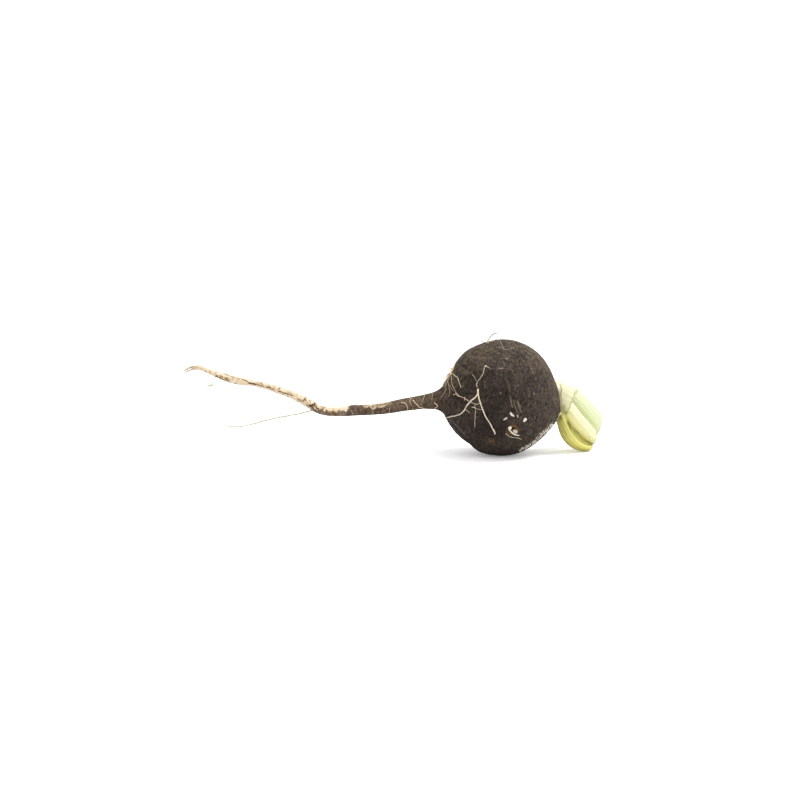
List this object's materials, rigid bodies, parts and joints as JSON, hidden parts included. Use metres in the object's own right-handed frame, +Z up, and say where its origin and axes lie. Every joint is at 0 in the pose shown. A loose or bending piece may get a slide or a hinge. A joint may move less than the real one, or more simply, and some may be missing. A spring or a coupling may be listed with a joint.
{
  "type": "black radish",
  "caption": "Round black-skinned radish lying on its side, with its long crooked taproot, cut leaf stalks at the crown and fine side roots.",
  "frame": {"origin": "middle of the small flat that the globe lies on, at the surface under it", "axes": "+X towards the crown and the leaf stalks, with the taproot towards -X; +Z up"},
  "size_m": [0.2902, 0.08, 0.0848],
  "materials": {
    "root_skin": "dry, mottled black-brown skin, cream where it is worn off the taproot",
    "stalk_yellow_green": "moist yellow-green leaf stalk",
    "stalk_pale": "moist cream-white ribbed leaf stalk",
    "stalk_green": "moist pale green leaf stalk",
    "side_root": "dry fibrous root"
  },
  "bodies": {
    "root": {"root_body": "root_skin", "leaf_stalk_floor": "stalk_yellow_green", "leaf_stalk_short": "stalk_pale", "leaf_stalk_stub": "stalk_pale", "leaf_stalk_middle": "stalk_pale", "leaf_stalk_back": "stalk_green", "leaf_stalk_inner": "stalk_green", "leaf_stalk_far": "stalk_green", "heart_stalk": "stalk_yellow_green", "heart_leaf": "stalk_yellow_green", "side_root_fork": "side_root", "side_root_upper": "side_root", "side_root_neck": "side_root", "side_root_top": "side_root", "side_root_shoulder": "side_root", "side_root_curled": "side_root", "side_root_trailing": "side_root", "side_root_tip": "side_root"}
  },
  "joints": []
}
